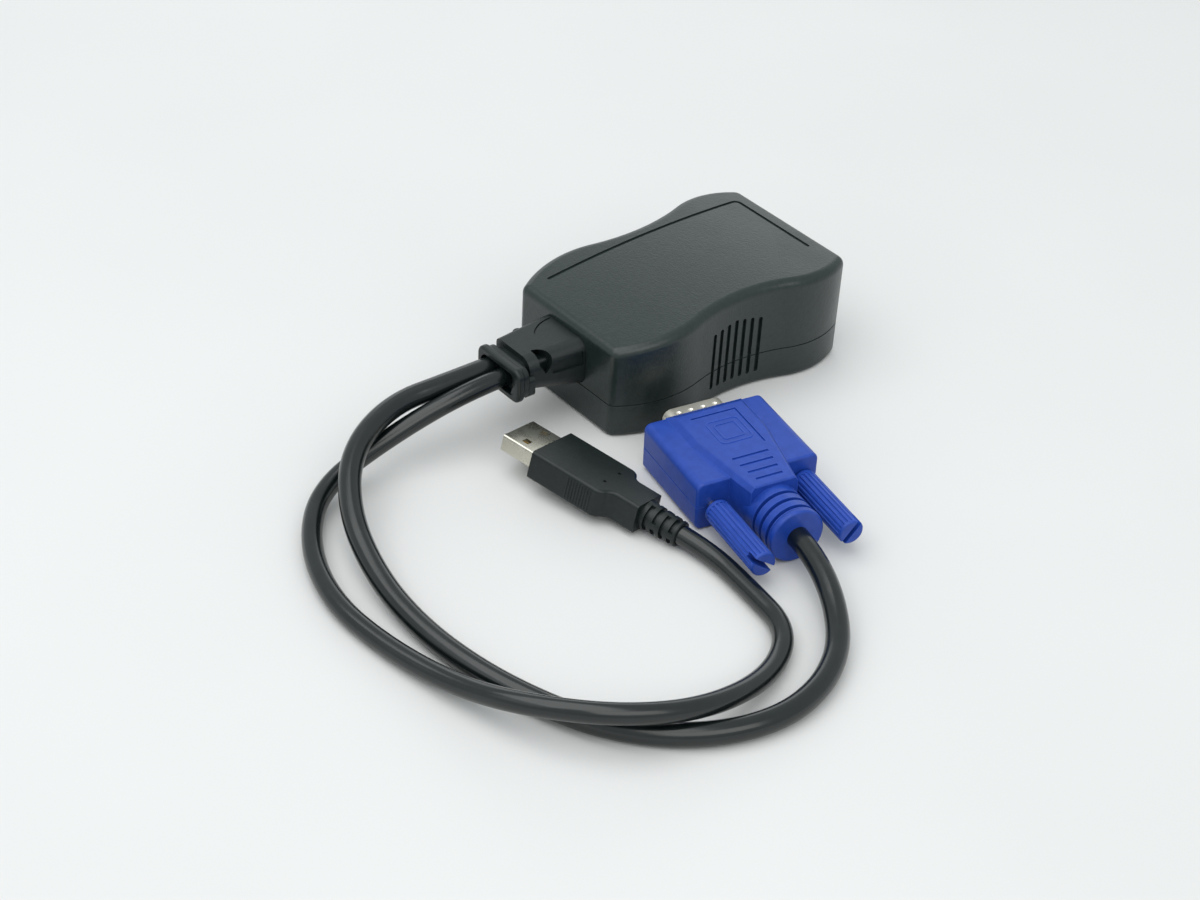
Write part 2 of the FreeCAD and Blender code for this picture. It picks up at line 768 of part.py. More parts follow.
def vga_knob(side, turn):
    x0 = knob_start(side)
    x1 = x0 + knob_l
    knob = rod(knob_r, x0, x1)
    knob = fillet(knob, 0.5, lambda e: e.BoundBox.XLength < 0.01)
    cuts = [box(x1 - knob_slot_l, x1 + 1, -knob_r - 1, knob_r + 1, -knob_slot_w / 2, knob_slot_w / 2)]
    for i in range(flute_count):
        a = math.radians(360 * i / flute_count)
        cuts.append(rod(flute_r, x0 + 1.2, x1 - 0.7, knob_r * math.cos(a), knob_r * math.sin(a)))
    cuts.append(rod(shank_r, x0 - 1, x0 + knob_l * 0.5))
    knob = knob.cut(cuts).removeSplitter()
    knob.rotate(Vector(0, 0, 0), Vector(1, 0, 0), turn)
    knob.translate(Vector(0, knob_y(side), 0))
    return knob


def vga_screw(side):
    y = knob_y(side)
    x0 = knob_start(side) - screw_reach
    shank = rod(shank_r, x0 + thread_l - 0.5, knob_start(side) + knob_l * 0.5, y)
    thread = rod(thread_r, x0, x0 + thread_l, y)
    thread = thread.makeChamfer(0.4, [e for e in thread.Edges if e.BoundBox.XMax < x0 + 0.01])
    return fuse_all([thread, shank])


def usb_shell():
    tube = bar(usb_w, usb_h, usb_edge_r, 0, usb_shell_l)
    tube = tube.cut(bar(usb_w - 2 * usb_t, usb_h - 2 * usb_t, usb_inner_r, -1, usb_shell_l + 1))
    holes = []
    h = usb_hole / 2
    for s in (-1, 1):
        holes.append(box(usb_hole_x - h, usb_hole_x + h, s * usb_hole_y - h, s * usb_hole_y + h, -usb_h, usb_h))
    return tube.cut(holes).removeSplitter()


def usb_tongue():
    # it fills the half of the shell away from the free space, and all of it at the back
    h = usb_h / 2 - usb_t
    space = bar(usb_w - 2 * usb_t - fit_gap, 2 * h, usb_inner_r + 0.1, tongue_out, usb_shell_l)
    tongue = space.common(box(tongue_out, usb_shell_l, -usb_w, usb_w, -h, tongue_t - h))
    tongue = fillet(tongue, 0.4, lambda e: e.BoundBox.XMax < tongue_out + 0.01 and e.BoundBox.YLength > 9)
    block = space.common(box(usb_out + 2.0, usb_shell_l, -usb_w, usb_w, -h, h))
    return fuse_all([tongue, block])


def usb_contacts():
    z1 = -usb_h / 2 + usb_t + tongue_t
    out = []
    for y in (-3.5, -1.0, 1.0, 3.5):
        out.append(box(tongue_out + 1.0, tongue_out + 1.0 + usb_pin_l, y - usb_pin_w / 2, y + usb_pin_w / 2, z1, z1 + usb_pin_t))
    return Part.makeCompound(out)


def grip_plan(z0, z1):
    # straight sides, then two tangent arcs in to the narrow tail end
    a = grip_half
    b = grip_tail_half
    x1 = usb_out + grip_l
    x2 = grip_tail_x
    turn = 2 * math.atan((a - b) / (x2 - x1))
    r = (x2 - x1) / (2 * math.sin(turn))
    dx = r * math.sin(turn / 2)
    dy = r * (1 - math.cos(turn / 2))
    middle = Vector((x1 + x2) / 2, (a + b) / 2, z0)
    edges = [Part.makeLine(Vector(usb_out, a, z0), Vector(x1, a, z0)),
             Part.Arc(Vector(x1, a, z0), Vector(x1 + dx, a - dy, z0), middle).toShape(),
             Part.Arc(middle, Vector(x2 - dx, b + dy, z0), Vector(x2, b, z0)).toShape(),
             Part.makeLine(Vector(x2, b, z0), Vector(grip_end_x, b, z0))]
    flip = [e.mirror(Vector(0, 0, 0), Vector(0, 1, 0)) for e in edges]
    edges.append(Part.makeLine(Vector(grip_end_x, b, z0), Vector(grip_end_x, -b, z0)))
    edges.append(Part.makeLine(Vector(usb_out, a, z0), Vector(usb_out, -a, z0)))
    wire = Part.Wire(Part.__sortEdges__(edges + flip))
    return Part.Face(wire).extrude(Vector(0, 0, z1 - z0))


def usb_overmould():
    h = grip_h / 2
    grip = grip_plan(-h, h)
    grip = grip.makeFillet(grip_edge_r, [e for e in grip.Edges if abs(e.CenterOfMass.z) > h - 0.01
                                         and e.BoundBox.YLength < 2 * grip_tail_half - 0.1])
    cone = Part.makeCone(tail_r0, tail_r1, tail_end_x - grip_end_x + 2, Vector(grip_end_x - 2, 0, 0), Vector(1, 0, 0))
    cone = fillet(cone, 0.5, lambda e: e.BoundBox.XMin > tail_end_x - 0.01)
    plug = fuse_all([grip, cone])
    span = tail_end_x - grip_end_x
    cuts = [bar(usb_w, usb_h, usb_edge_r, usb_out - 1, usb_shell_l)]
    for i in range(tail_rings):
        x = grip_end_x + (i + 0.55) * span / (tail_rings + 0.4)
        r = tail_r0 + (tail_r1 - tail_r0) * (x - grip_end_x) / span - tail_ring_depth
        ring = rod(tail_r0 + 2, x, x + tail_ring_w).cut(rod(r, x - 1, x + tail_ring_w + 1))
        if i % 2:
            rib = box(x - 1, x + tail_ring_w + 1, -2 * tail_r0, 2 * tail_r0, -tail_rib / 2, tail_rib / 2)
        else:
            rib = box(x - 1, x + tail_ring_w + 1, -tail_rib / 2, tail_rib / 2, -2 * tail_r0, 2 * tail_r0)
        cuts.append(ring.cut(rib))
    for s in (-1, 1):
        cuts.append(Part.makeCylinder(dot_r, 1, Vector(dot_x, s * dot_y, h - 0.3)))
    return plug.cut(cuts).removeSplitter()


def cord(name, points, d):
    # straight runs joined by tangent arcs, each as large as its two runs allow
    runs = [(q - p).Length for p, q in zip(points, points[1:])]
    edges = []
    radii = []
    here = points[0]
    for i in range(1, len(points) - 1):
        p = points[i]
        a = (points[i - 1] - p).normalize()
        b = (points[i + 1] - p).normalize()
        turn = math.pi - a.getAngle(b)
        cut = 0.45 * min(runs[i - 1], runs[i])
        r = cut / math.tan(turn / 2)
        radii.append(r)
        s = p + a * cut
        e = p + b * cut
        to_centre = (a + b).normalize()
        mid = p + to_centre * (r / math.cos(turn / 2) - r)
        edges.append(Part.makeLine(here, s))
        edges.append(Part.Arc(s, mid, e).toShape())
        here = e
    edges.append(Part.makeLine(here, points[-1]))
    path = Part.Wire(edges)
    ring = Part.Wire(Part.Circle(points[0], (points[1] - points[0]), d / 2).toShape())
    tube = path.makePipeShell([ring], True, False, 2)
    if tube.Volume < 0:
        tube.reverse()
    ideal = math.pi * d * d / 4 * path.Length
    low = min(v.Z for e in edges for v in e.Vertexes) - d / 2
    print(name, "length %.0f" % path.Length, "volume ratio %.4f" % (tube.Volume / ideal),
          "lowest %.2f" % low, "radii", [round(r) for r in radii])
    return tube


boot_face_x = -half - boot_l - slot_w - flange_l + recess_depth
vga_tail = Placement(vga_at, vga_turn).multVec(Vector(neck_end + disc_t, 0, 0))
vga_tail2 = Placement(vga_at, vga_turn).multVec(Vector(neck_end + disc_t + 11, 0, 0))
usb_tail = Placement(usb_at, usb_turn).multVec(Vector(tail_end_x, 0, 0))
usb_tail2 = Placement(usb_at, usb_turn).multVec(Vector(tail_end_x + 9, 0, 0))

vga_route = [(-70.5, 4.5, 16.2), (-87.5, 6.3, 15), (-104.5, -2, 12.6), (-115, -17.5, 8.4), (-120, -36, 4.6),
             (-121.5, -54.5, 3.3), (-119.5, -73, 2.9), (-114.5, -91, 2.95), (-106.5, -107, 2.9),
             (-92.5, -119.5, 2.95), (-75.5, -125, 2.9), (-59, -122, 2.95), (-45, -112, 3.6)]
usb_route = [(-70.5, -0.95, 16.2), (-91, 2.2, 8.9), (-112, -0.5, 4.4), (-125, -15, 2.8), (-132, -35.5, 2.6),
             (-131, -56, 2.7), (-127, -77, 4.4), (-122, -96, 10.0), (-107.5, -111.5, 10.8), (-88.5, -117, 7.5),
             (-67, -113, 2.7), (-53.5, -103.5, 2.6), (-51.2, -87, 2.7)]


def build():
    upper, lower = shells()
    vga = [("vga_hood", vga_hood()), ("vga_shell", vga_shell()), ("vga_insulator", vga_insulator()),
           ("vga_pins", vga_pins()), ("vga_knob_left", vga_knob(-1, left_turn)),
           ("vga_knob_right", vga_knob(1, right_turn)), ("vga_screw_left", vga_screw(-1)),
           ("vga_screw_right", vga_screw(1))]
    usb = [("usb_overmould", usb_overmould()), ("usb_shell", usb_shell()), ("usb_tongue", usb_tongue()),
           ("usb_contacts", usb_contacts())]
    parts = [("upper_shell", upper), ("lower_shell", lower), ("case_screws", case_screws()),
             ("circuit_board", circuit_board()), ("board_chips", board_chips()), ("network_jack", network_jack()),
             ("jack_contacts", jack_contacts()), ("cable_boot", cable_boot())]
    parts += [(n, place(s, vga_at, vga_turn)) for n, s in vga]
    parts += [(n, place(s, usb_at, usb_turn)) for n, s in usb]
    start = Vector(boot_face_x, vga_exit_y, cord_z)
    vga_points = [start] + [Vector(*p) for p in vga_route] + [vga_tail2, vga_tail]
    parts.append(("vga_cord", cord("vga_cord", vga_points, vga_cord_d)))
    start = Vector(boot_face_x, usb_exit_y, cord_z)
    usb_points = [start] + [Vector(*p) for p in usb_route] + [usb_tail2, usb_tail]
    parts.append(("usb_cord", cord("usb_cord", usb_points, usb_cord_d)))
    return parts


os.makedirs("parts", exist_ok=True)
for node, solid in build():
    b = solid.BoundBox
    print(node, solid.ShapeType, "valid", solid.isValid(), "solids", len(solid.Solids), "volume %.1f" % solid.Volume,
          "x %.2f %.2f y %.2f %.2f z %.2f %.2f" % (b.XMin, b.XMax, b.YMin, b.YMax, b.ZMin, b.ZMax))
    solid.exportStep("parts/" + node + ".step")
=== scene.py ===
import json
import math

import bpy
from mathutils import Matrix, Vector

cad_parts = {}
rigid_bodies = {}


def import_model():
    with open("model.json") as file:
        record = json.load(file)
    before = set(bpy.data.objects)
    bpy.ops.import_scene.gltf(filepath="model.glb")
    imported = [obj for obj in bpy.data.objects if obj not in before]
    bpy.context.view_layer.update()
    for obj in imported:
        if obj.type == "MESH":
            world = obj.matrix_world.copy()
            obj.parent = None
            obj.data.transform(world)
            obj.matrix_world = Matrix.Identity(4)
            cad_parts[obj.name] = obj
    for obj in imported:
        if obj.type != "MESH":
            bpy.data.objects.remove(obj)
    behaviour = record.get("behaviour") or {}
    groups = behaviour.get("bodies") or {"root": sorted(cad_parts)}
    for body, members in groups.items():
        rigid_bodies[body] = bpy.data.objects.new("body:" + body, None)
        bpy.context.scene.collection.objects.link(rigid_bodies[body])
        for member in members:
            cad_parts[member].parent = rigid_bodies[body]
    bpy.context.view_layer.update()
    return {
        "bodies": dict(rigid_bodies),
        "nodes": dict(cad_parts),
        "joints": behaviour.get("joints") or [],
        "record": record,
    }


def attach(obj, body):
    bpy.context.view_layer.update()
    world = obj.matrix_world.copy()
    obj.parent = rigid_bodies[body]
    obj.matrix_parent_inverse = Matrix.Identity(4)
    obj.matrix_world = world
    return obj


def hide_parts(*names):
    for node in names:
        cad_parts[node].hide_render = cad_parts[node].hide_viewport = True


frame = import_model()
nodes = frame["nodes"]
mm = 0.001


def deselectAll():
    if bpy.context.mode != "OBJECT":
        bpy.ops.object.mode_set(mode="OBJECT")
    bpy.ops.object.select_all(action="DESELECT")


def pickOnly(piece):
    deselectAll()
    piece.select_set(True)
    bpy.context.view_layer.objects.active = piece


# where each plug lies: its own x axis runs from its mouth to its tail
videoPlug = {"at": (-23.1, -37.2, 7.0), "turn": (-102.1, -0.3, 1.0), "tailX": 47.2}
usbPlug = {"at": (-63.4, -14.0, 8.05), "turn": (-76.9, 5.0, -10.0), "tailX": 51.2}


def plugPlace(plug):
    heading, tilt, roll = (math.radians(angle) for angle in plug["turn"])
    spin = Matrix.Rotation(heading, 4, "Z")
    spin = spin @ Matrix.Rotation(tilt, 4, "Y")
    spin = spin @ Matrix.Rotation(roll, 4, "X")
    return Matrix.Translation(Vector(plug["at"]) * mm) @ spin


cameraLook = {
    "from": (-0.34743, -0.37858, 0.33721), "to": (-0.04312, -0.02196, 0.0), "roll": 3.44,
    "lens": 69, "sensor": 36, "clip": (0.02, 20),
}


def addCamera(look):
    bpy.ops.object.camera_add(location=look["from"])
    cam = bpy.context.object
    cam.name = "shootingCamera"
    ahead = (Vector(look["to"]) - Vector(look["from"])).normalized()
    right = ahead.cross(Vector((0, 0, 1))).normalized()
    up = right.cross(ahead)
    c, s = math.cos(math.radians(look["roll"])), math.sin(math.radians(look["roll"]))
    axes = (right * c + up * s, up * c - right * s, -ahead)
    cam.rotation_mode = "QUATERNION"
    cam.rotation_quaternion = Matrix([[a[i] for a in axes] for i in range(3)]).to_quaternion()
    cam.data.lens = look["lens"]
    cam.data.sensor_width = look["sensor"]
    cam.data.clip_start, cam.data.clip_end = look["clip"]
    bpy.context.scene.camera = cam


addCamera(cameraLook)
print("camera set")


def newGroup(name, inputs, outputs):
    group = bpy.data.node_groups.new(name, "ShaderNodeTree")
    for label, kind, start in inputs:
        sock = group.interface.new_socket(label, in_out="INPUT", socket_type=kind)
        if start is not None:
            sock.default_value = start
    for label, kind in outputs:
        group.interface.new_socket(label, in_out="OUTPUT", socket_type=kind)
    return group, group.nodes.new("NodeGroupInput"), group.nodes.new("NodeGroupOutput")


def addNode(tree, kind, **settings):
    node = tree.nodes.new(kind)
    for key, value in settings.items():
        setattr(node, key, value)
    return node


def feed(tree, value, socket):  # a number is set, anything else is linked
    if isinstance(value, (int, float)):
        socket.default_value = value
    else:
        tree.links.new(value, socket)


def mathNode(tree, operation, first, second):
    node = addNode(tree, "ShaderNodeMath", operation=operation)
    feed(tree, first, node.inputs[0])
    feed(tree, second, node.inputs[1])
    return node.outputs[0]


def weighted(tree, first, second, share):  # the first has this share, the second has the rest
    return mathNode(tree, "ADD", mathNode(tree, "MULTIPLY", first, share),
                    mathNode(tree, "MULTIPLY", second, 1 - share))


def noiseNode(tree, vector, scale, detail, roughness=0.5):
    node = addNode(tree, "ShaderNodeTexNoise")
    node.inputs["Detail"].default_value = detail
    node.inputs["Roughness"].default_value = roughness
    tree.links.new(vector, node.inputs["Vector"])
    feed(tree, scale, node.inputs["Scale"])
    return node.outputs[0]


def rangeNode(tree, value, low, high, **settings):  # spreads low to high over 0 to 1
    node = addNode(tree, "ShaderNodeMapRange", **settings)
    feed(tree, low, node.inputs["From Min"])
    feed(tree, high, node.inputs["From Max"])
    tree.links.new(value, node.inputs["Value"])
    return node.outputs[0]


grainMix = {"scale": 3000.0, "fine": 1.0, "coarse": 0.31, "cells": 0.8}


def mouldedGrain(mix):  # eroded tool finish: fine pits over a soft unevenness
    tree, ins, outs = newGroup("mouldedGrain", [("Vector", "NodeSocketVector", None),
                                                ("Scale", "NodeSocketFloat", mix["scale"]),
                                                ("Fine", "NodeSocketFloat", mix["fine"])],
                               [("Height", "NodeSocketFloat"), ("Mottle", "NodeSocketFloat")])
    vector, scale = ins.outputs["Vector"], ins.outputs["Scale"]
    fine = noiseNode(tree, vector, scale, 2.0, 0.6)
    coarse = noiseNode(tree, vector, mathNode(tree, "MULTIPLY", scale, mix["coarse"]), 3.0)
    cells = addNode(tree, "ShaderNodeTexVoronoi", feature="SMOOTH_F1")
    tree.links.new(vector, cells.inputs["Vector"])
    tree.links.new(mathNode(tree, "MULTIPLY", scale, mix["cells"]), cells.inputs["Scale"])
    bumps = mathNode(tree, "ADD", fine, cells.outputs["Distance"])
    pits = mathNode(tree, "MULTIPLY", bumps, ins.outputs["Fine"])
    tree.links.new(mathNode(tree, "ADD", pits, coarse), outs.inputs["Height"])
    tree.links.new(coarse, outs.inputs["Mottle"])
    return tree


handling = {
    "scale": 60.0, "rubRange": (0.38, 0.68),
    "scuffTurn": (0.2, 0.5, 0.9), "scuffStretch": (1, 14, 5), "scuffScale": 2.0, "scuffRange": (0.68, 0.78),
}


def handlingMarks(wear):  # faint rubbed patches and hairline scuffs
    tree, ins, outs = newGroup("handlingMarks", [("Vector", "NodeSocketVector", None),
                                                 ("Scale", "NodeSocketFloat", wear["scale"])],
                               [("Rub", "NodeSocketFloat"), ("Scuff", "NodeSocketFloat")])
    vector, scale = ins.outputs["Vector"], ins.outputs["Scale"]
    patch = noiseNode(tree, vector, scale, 4.0, 0.62)
    rubAndSheen = rangeNode(tree, patch, *wear["rubRange"], interpolation_type="SMOOTHSTEP")
    stretch = addNode(tree, "ShaderNodeMapping")
    stretch.inputs["Rotation"].default_value = wear["scuffTurn"]
    stretch.inputs["Scale"].default_value = wear["scuffStretch"]
    tree.links.new(vector, stretch.inputs["Vector"])
    closer = mathNode(tree, "MULTIPLY", scale, wear["scuffScale"])
    lines = noiseNode(tree, stretch.outputs[0], closer, 3.0)
    tree.links.new(rubAndSheen, outs.inputs["Rub"])
    tree.links.new(rangeNode(tree, lines, *wear["scuffRange"]), outs.inputs["Scuff"])
    return tree


# painted highlight: edges are paled to stand in for their sheen, partly edge wear
edgeWear = {"radius": 0.0004, "start": 0.01, "reach": 0.14, "samples": 4}


def edgeRub(wear):  # painted highlight: every edge comes out paler, standing in for the sheen on rounded edges, partly edge wear
    tree, ins, outs = newGroup("edgeRub", [("Radius", "NodeSocketFloat", wear["radius"]),
                                           ("Reach", "NodeSocketFloat", wear["reach"])],
                               [("Edge", "NodeSocketFloat")])
    rounded = addNode(tree, "ShaderNodeBevel", samples=wear["samples"])
    tree.links.new(ins.outputs["Radius"], rounded.inputs["Radius"])
    shape = addNode(tree, "ShaderNodeNewGeometry")
    agree = addNode(tree, "ShaderNodeVectorMath", operation="DOT_PRODUCT")
    tree.links.new(rounded.outputs["Normal"], agree.inputs[0])
    tree.links.new(shape.outputs["Normal"], agree.inputs[1])
    apart = mathNode(tree, "SUBTRACT", 1.0, agree.outputs["Value"])
    edge = rangeNode(tree, apart, wear["start"], ins.outputs["Reach"], interpolation_type="SMOOTHSTEP")
    tree.links.new(edge, outs.inputs["Edge"])
    return tree


grainGroup = mouldedGrain(grainMix)
edgeGroup = edgeRub(edgeWear)
marksGroup = handlingMarks(handling)


def startMaterial(name):
    material = bpy.data.materials.new(name)
    material.use_nodes = True
    tree = material.node_tree
    place = addNode(tree, "ShaderNodeTexCoord")
    return material, tree, tree.nodes["Principled BSDF"], place.outputs["Object"]


mottleEnds = (0.3, 0.7)  # where the darker and the lighter tone are reached


def rampBetween(tree, factor, low, high):
    ramp = addNode(tree, "ShaderNodeValToRGB")
    for stop, colour, position in zip(ramp.color_ramp.elements, (low, high), mottleEnds):
        stop.color = (*colour, 1)
        stop.position = position
    tree.links.new(factor, ramp.inputs["Fac"])
    return ramp.outputs["Color"]


def roughBetween(tree, factor, low, high):
    spread = addNode(tree, "ShaderNodeMapRange")
    spread.inputs["To Min"].default_value = low
    spread.inputs["To Max"].default_value = high
    tree.links.new(factor, spread.inputs["Value"])
    return spread.outputs[0]


def bumpFrom(tree, height, distance, strength, shader):
    bump = addNode(tree, "ShaderNodeBump")
    bump.inputs["Distance"].default_value = distance
    bump.inputs["Strength"].default_value = strength
    tree.links.new(height, bump.inputs["Height"])
    tree.links.new(bump.outputs["Normal"], shader.inputs["Normal"])


# lays the painted edge highlight, partly edge wear, over the body colour
def paintEdgeSheen(tree, body, colour, amount):
    rubAndSheen = addNode(tree, "ShaderNodeGroup", node_tree=edgeGroup)
    blend = addNode(tree, "ShaderNodeMix", data_type="RGBA")
    tree.links.new(mathNode(tree, "MULTIPLY", rubAndSheen.outputs["Edge"], amount), blend.inputs["Factor"])
    tree.links.new(body, blend.inputs[6])
    blend.inputs[7].default_value = (*colour, 1)
    return blend.outputs[2]


def addMarks(tree, place, scale):
    marks = addNode(tree, "ShaderNodeGroup", node_tree=marksGroup)
    marks.inputs["Scale"].default_value = scale
    tree.links.new(place, marks.inputs["Vector"])
    return marks


def plasticMaterial(name, look):
    material, tree, shader, place = startMaterial(name)
    grain = addNode(tree, "ShaderNodeGroup", node_tree=grainGroup)
    grain.inputs["Scale"].default_value = look["grain"]
    grain.inputs["Fine"].default_value = look.get("fine", 1.0)
    tree.links.new(place, grain.inputs["Vector"])
    marks = addMarks(tree, place, handling["scale"])
    body = rampBetween(tree, grain.outputs["Mottle"], look["dark"], look["light"])
    if "edge" in look:
        body = paintEdgeSheen(tree, body, look["edge"], look["edgeAmount"])
    tree.links.new(body, shader.inputs["Base Color"])
    worn = weighted(tree, marks.outputs["Rub"], marks.outputs["Scuff"], 0.75)
    tree.links.new(roughBetween(tree, worn, *look["rough"]), shader.inputs["Roughness"])
    shader.inputs["Specular IOR Level"].default_value = look.get("specular", 0.5)
    bumpFrom(tree, grain.outputs["Height"], look["bump"], look.get("bumpStrength", 0.5), shader)
    return material


def metalMaterial(name, look):
    material, tree, shader, place = startMaterial(name)
    marks = addMarks(tree, place, look["marks"])
    stretch = addNode(tree, "ShaderNodeMapping", vector_type="TEXTURE")
    stretch.inputs["Rotation"].default_value = [math.radians(a) for a in look.get("lie", (0, 0, 0))]
    stretch.inputs["Scale"].default_value = look.get("stretch", (1, 1, 1))
    tree.links.new(place, stretch.inputs["Vector"])
    drawn = noiseNode(tree, stretch.outputs[0], look["grain"], 3.0, 0.6)
    body = rampBetween(tree, marks.outputs["Rub"], look["dark"], look["light"])
    tree.links.new(body, shader.inputs["Base Color"])
    worn = weighted(tree, marks.outputs["Rub"], drawn, 0.6)
    tree.links.new(roughBetween(tree, worn, *look["rough"]), shader.inputs["Roughness"])
    shader.inputs["Metallic"].default_value = 1.0
    bumpFrom(tree, drawn, look["bump"], look.get("bumpStrength", 0.4), shader)
    return material


# the paler edge colours below are painted highlight along edges, partly edge wear
plastics = {
    "housingBlack": {"dark": (0.0095, 0.0170, 0.0168), "light": (0.0140, 0.0225, 0.0222),
                     "grain": 2600, "rough": (0.28, 0.36), "bump": 0.00006, "bumpStrength": 0.45,
                     "edge": (0.045, 0.055, 0.055), "edgeAmount": 0.5},
    "bootBlack": {"dark": (0.0042, 0.0085, 0.0086), "light": (0.0068, 0.0120, 0.0121),
                  "grain": 1800, "rough": (0.36, 0.46), "bump": 0.00003, "specular": 0.42},
    "plugBlue": {"dark": (0.0105, 0.047, 0.305), "light": (0.0150, 0.058, 0.360),
                 "grain": 1500, "rough": (0.34, 0.44), "bump": 0.00002, "fine": 0.6, "specular": 0.34,
                 "edge": (0.05, 0.12, 0.55), "edgeAmount": 0.5},
    "plugBlack": {"dark": (0.0035, 0.0070, 0.0072), "light": (0.0058, 0.0105, 0.0107),
                  "grain": 2200, "rough": (0.38, 0.50), "bump": 0.00003, "specular": 0.40},
    "cordBlack": {"dark": (0.0030, 0.0054, 0.0055), "light": (0.0054, 0.0082, 0.0083),
                  "grain": 900, "rough": (0.19, 0.27), "bump": 0.00002, "fine": 0.5, "specular": 0.6},
    "jackBlack": {"dark": (0.0080, 0.0080, 0.0085), "light": (0.0120, 0.0120, 0.0125),
                  "grain": 1500, "rough": (0.35, 0.45), "bump": 0.00002},
    "boardGreen": {"dark": (0.010, 0.060, 0.025), "light": (0.014, 0.080, 0.034),
                   "grain": 900, "rough": (0.25, 0.35), "bump": 0.00001},
    "chipBlack": {"dark": (0.010, 0.010, 0.010), "light": (0.016, 0.016, 0.016),
                  "grain": 1800, "rough": (0.50, 0.60), "bump": 0.00002},
    "insulatorBlue": {"dark": (0.012, 0.034, 0.230), "light": (0.016, 0.044, 0.280),
                      "grain": 1500, "rough": (0.38, 0.48), "bump": 0.00002},
    "tongueWhite": {"dark": (0.62, 0.62, 0.60), "light": (0.70, 0.70, 0.68),
                    "grain": 1500, "rough": (0.38, 0.48), "bump": 0.00001},
}
metals = {
    "usbNickel": {"dark": (0.60, 0.58, 0.50), "light": (0.66, 0.64, 0.56), "marks": 200,
                  "grain": 1400, "stretch": (1, 14, 14), "lie": (0, 5, -76.9),
                  "rough": (0.25, 0.31), "bump": 0.000003},
    "videoNickel": {"dark": (0.84, 0.80, 0.72), "light": (0.90, 0.86, 0.78), "marks": 200,
                    "grain": 1400, "stretch": (14, 14, 1), "lie": (0, 0, -102.1),
                    "rough": (0.42, 0.50), "bump": 0.000003},
    "screwSteel": {"dark": (0.52, 0.51, 0.49), "light": (0.66, 0.65, 0.63), "marks": 400,
                   "grain": 2500, "rough": (0.22, 0.36), "bump": 0.00001},
    "goldFlash": {"dark": (0.72, 0.48, 0.16), "light": (0.86, 0.62, 0.25), "marks": 500,
                  "grain": 2500, "rough": (0.16, 0.28), "bump": 0.000005},
}
materials = {name: plasticMaterial(name, look) for name, look in plastics.items()}
materials.update({name: metalMaterial(name, look) for name, look in metals.items()})

nodeFinish = {
    "upper_shell": "housingBlack", "lower_shell": "housingBlack", "case_screws": "screwSteel",
    "circuit_board": "boardGreen", "board_chips": "chipBlack", "network_jack": "jackBlack",
    "jack_contacts": "goldFlash", "cable_boot": "bootBlack", "vga_hood": "plugBlue",
    "vga_shell": "videoNickel", "vga_insulator": "insulatorBlue", "vga_pins": "goldFlash",
    "vga_knob_left": "plugBlue", "vga_knob_right": "plugBlue", "vga_screw_left": "screwSteel",
    "vga_screw_right": "screwSteel", "usb_overmould": "plugBlack", "usb_shell": "usbNickel",
    "usb_tongue": "tongueWhite", "usb_contacts": "goldFlash", "vga_cord": "cordBlack",
    "usb_cord": "cordBlack",
}


def dress(piece, finish):
    piece.data.materials.clear()
    piece.data.materials.append(materials[finish])


for nodeName, finish in nodeFinish.items():
    dress(nodes[nodeName], finish)
print("finishes set")


# small moulded details that stand on the boot and the plugs

smoothAngle = math.radians(30)


def applyAll(piece):
    pickOnly(piece)
    for modifier in list(piece.modifiers):
        bpy.ops.object.modifier_apply(modifier=modifier.name)


def finishDetail(piece, finish):
    pickOnly(piece)
    bpy.ops.object.transform_apply(location=True, rotation=True, scale=True)
    bpy.ops.object.shade_smooth_by_angle(angle=smoothAngle)
    dress(piece, finish)
    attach(piece, "module")


displayMark = {
    "name": "displayMark", "middle": (12.5, 0.3), "top": 8.1, "proud": 0.13, "sunk": 0.12,
    "line": 0.42, "soft": 0.05, "cornerSteps": 6,
    "frames": [(9.7, 9.2, 1.6), (6.5, 6.1, 1.0)],  # each frame's length, width and corner radius
}


def addFrame(mark, length, width, corner):
    x, y = mark["middle"]
    deselectAll()
    bpy.ops.mesh.primitive_plane_add(size=mm, location=(x * mm, y * mm, (mark["top"] + mark["proud"]) * mm))
    ring = bpy.context.object
    ring.scale = (length, width, 1)
    bpy.ops.object.transform_apply(location=False, rotation=False, scale=True)
    bpy.ops.object.mode_set(mode="EDIT")
    bpy.ops.mesh.select_all(action="SELECT")
    bpy.ops.mesh.bevel(offset=corner * mm, affect="VERTICES", segments=mark["cornerSteps"], profile=0.5)
    bpy.ops.mesh.select_all(action="SELECT")
    bpy.ops.mesh.inset(thickness=mark["line"] * mm, use_even_offset=True)
    bpy.ops.mesh.delete(type="FACE")
    bpy.ops.object.mode_set(mode="OBJECT")
    wall = ring.modifiers.new("wall", "SOLIDIFY")
    wall.thickness = (mark["proud"] + mark["sunk"]) * mm
    wall.offset = -1
    soft = ring.modifiers.new("soft", "BEVEL")
    soft.width = mark["soft"] * mm
    soft.segments = 2
    applyAll(ring)
    return ring


def addDisplayMark(mark, plug):
    rings = [addFrame(mark, *frame) for frame in mark["frames"]]
    deselectAll()
    for ring in rings:
        ring.select_set(True)
    bpy.context.view_layer.objects.active = rings[0]
    bpy.ops.object.join()
    piece = bpy.context.object
    piece.name = mark["name"]
    piece.matrix_world = plugPlace(plug) @ piece.matrix_world
    finishDetail(piece, "plugBlue")


gripRibs = {
    "name": "gripRib", "first": 22.0, "pitch": 0.85, "count": 9, "side": 8.0,
    "wide": 0.42, "tall": 5.9, "proud": 0.14, "soft": 0.12,
}


